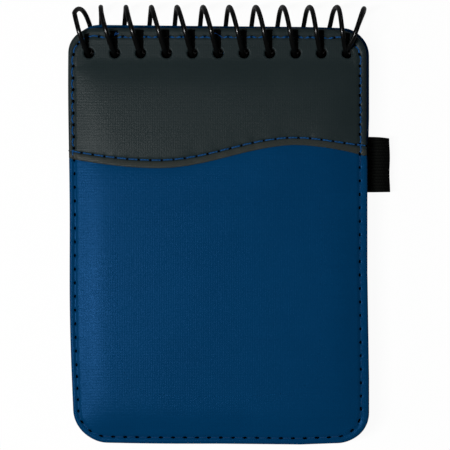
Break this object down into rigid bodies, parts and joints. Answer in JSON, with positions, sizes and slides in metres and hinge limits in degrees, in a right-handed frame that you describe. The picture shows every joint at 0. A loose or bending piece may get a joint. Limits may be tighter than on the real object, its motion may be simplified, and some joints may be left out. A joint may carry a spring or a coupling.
{
  "type": "pocket notebook",
  "caption": "Top-bound spiral pocket notebook with padded stitched covers, a wave-edged band, turning leaves and an elastic pen loop.",
  "frame": {"origin": "under the middle of the closed notebook's bounding box, on the plane through the lowest point of the coil, where it meets the table", "axes": "+X across the covers towards the pen loop, +Y along the covers towards the coil, +Z out of the front cover"},
  "size_m": [0.0964, 0.1314, 0.0161],
  "materials": {
    "coil": "gloss black coating",
    "elastic": "woven elastic",
    "blue_leatherette": "fine linen grain, satin",
    "band": "fine grain, satin",
    "thread": "twisted thread",
    "foam": "open foam",
    "greyboard": "matte",
    "lining": "matte",
    "paper": "matte, ruled"
  },
  "bodies": {
    "back": {"binding_coil": "coil", "pen_loop": "elastic", "back_cover_skin": "blue_leatherette", "back_cover_foam": "foam", "back_cover_board": "greyboard", "back_cover_lining": "lining", "back_cover_stitching": "thread", "sheet_block": "paper"},
    "front_cover": {"front_cover_skin": "blue_leatherette", "front_cover_foam": "foam", "front_cover_board": "greyboard", "front_cover_lining": "lining", "front_cover_stitching": "thread", "front_cover_band": "band", "band_stitching": "thread"},
    "leaf_1": {"leaf_1": "paper"},
    "leaf_2": {"leaf_2": "paper"},
    "leaf_3": {"leaf_3": "paper"},
    "leaf_4": {"leaf_4": "paper"},
    "leaf_5": {"leaf_5": "paper"},
    "leaf_6": {"leaf_6": "paper"},
    "leaf_7": {"leaf_7": "paper"},
    "leaf_8": {"leaf_8": "paper"},
    "leaf_9": {"leaf_9": "paper"},
    "leaf_10": {"leaf_10": "paper"}
  },
  "joints": [
    {"name": "cover_hinge", "type": "hinge", "parent": "back", "child": "front_cover", "pos_m": [0, 0.05765, 0.00805], "axis": [-1, 0, 0], "range_deg": [0, 180], "deforming": ["binding_coil"]},
    {"name": "leaf_1_hinge", "type": "hinge", "parent": "back", "child": "leaf_1", "pos_m": [0, 0.05765, 0.00805], "axis": [-1, 0, 0], "range_deg": [0, 178.03]},
    {"name": "leaf_2_hinge", "type": "hinge", "parent": "back", "child": "leaf_2", "pos_m": [0, 0.05765, 0.00805], "axis": [-1, 0, 0], "range_deg": [0, 176.05]},
    {"name": "leaf_3_hinge", "type": "hinge", "parent": "back", "child": "leaf_3", "pos_m": [0, 0.05765, 0.00805], "axis": [-1, 0, 0], "range_deg": [0, 174.07]},
    {"name": "leaf_4_hinge", "type": "hinge", "parent": "back", "child": "leaf_4", "pos_m": [0, 0.05765, 0.00805], "axis": [-1, 0, 0], "range_deg": [0, 172.09]},
    {"name": "leaf_5_hinge", "type": "hinge", "parent": "back", "child": "leaf_5", "pos_m": [0, 0.05765, 0.00805], "axis": [-1, 0, 0], "range_deg": [0, 170.11]},
    {"name": "leaf_6_hinge", "type": "hinge", "parent": "back", "child": "leaf_6", "pos_m": [0, 0.05765, 0.00805], "axis": [-1, 0, 0], "range_deg": [0, 168.13]},
    {"name": "leaf_7_hinge", "type": "hinge", "parent": "back", "child": "leaf_7", "pos_m": [0, 0.05765, 0.00805], "axis": [-1, 0, 0], "range_deg": [0, 166.15]},
    {"name": "leaf_8_hinge", "type": "hinge", "parent": "back", "child": "leaf_8", "pos_m": [0, 0.05765, 0.00805], "axis": [-1, 0, 0], "range_deg": [0, 164.17]},
    {"name": "leaf_9_hinge", "type": "hinge", "parent": "back", "child": "leaf_9", "pos_m": [0, 0.05765, 0.00805], "axis": [-1, 0, 0], "range_deg": [0, 162.19]},
    {"name": "leaf_10_hinge", "type": "hinge", "parent": "back", "child": "leaf_10", "pos_m": [0, 0.05765, 0.00805], "axis": [-1, 0, 0], "range_deg": [0, 160.21]}
  ],
  "couplings": [
    {"joint": "leaf_1_hinge", "follows": "cover_hinge", "ratio": 0.989},
    {"joint": "leaf_2_hinge", "follows": "cover_hinge", "ratio": 0.978},
    {"joint": "leaf_3_hinge", "follows": "cover_hinge", "ratio": 0.967},
    {"joint": "leaf_4_hinge", "follows": "cover_hinge", "ratio": 0.956},
    {"joint": "leaf_5_hinge", "follows": "cover_hinge", "ratio": 0.945},
    {"joint": "leaf_6_hinge", "follows": "cover_hinge", "ratio": 0.934},
    {"joint": "leaf_7_hinge", "follows": "cover_hinge", "ratio": 0.923},
    {"joint": "leaf_8_hinge", "follows": "cover_hinge", "ratio": 0.912},
    {"joint": "leaf_9_hinge", "follows": "cover_hinge", "ratio": 0.901},
    {"joint": "leaf_10_hinge", "follows": "cover_hinge", "ratio": 0.89}
  ]
}
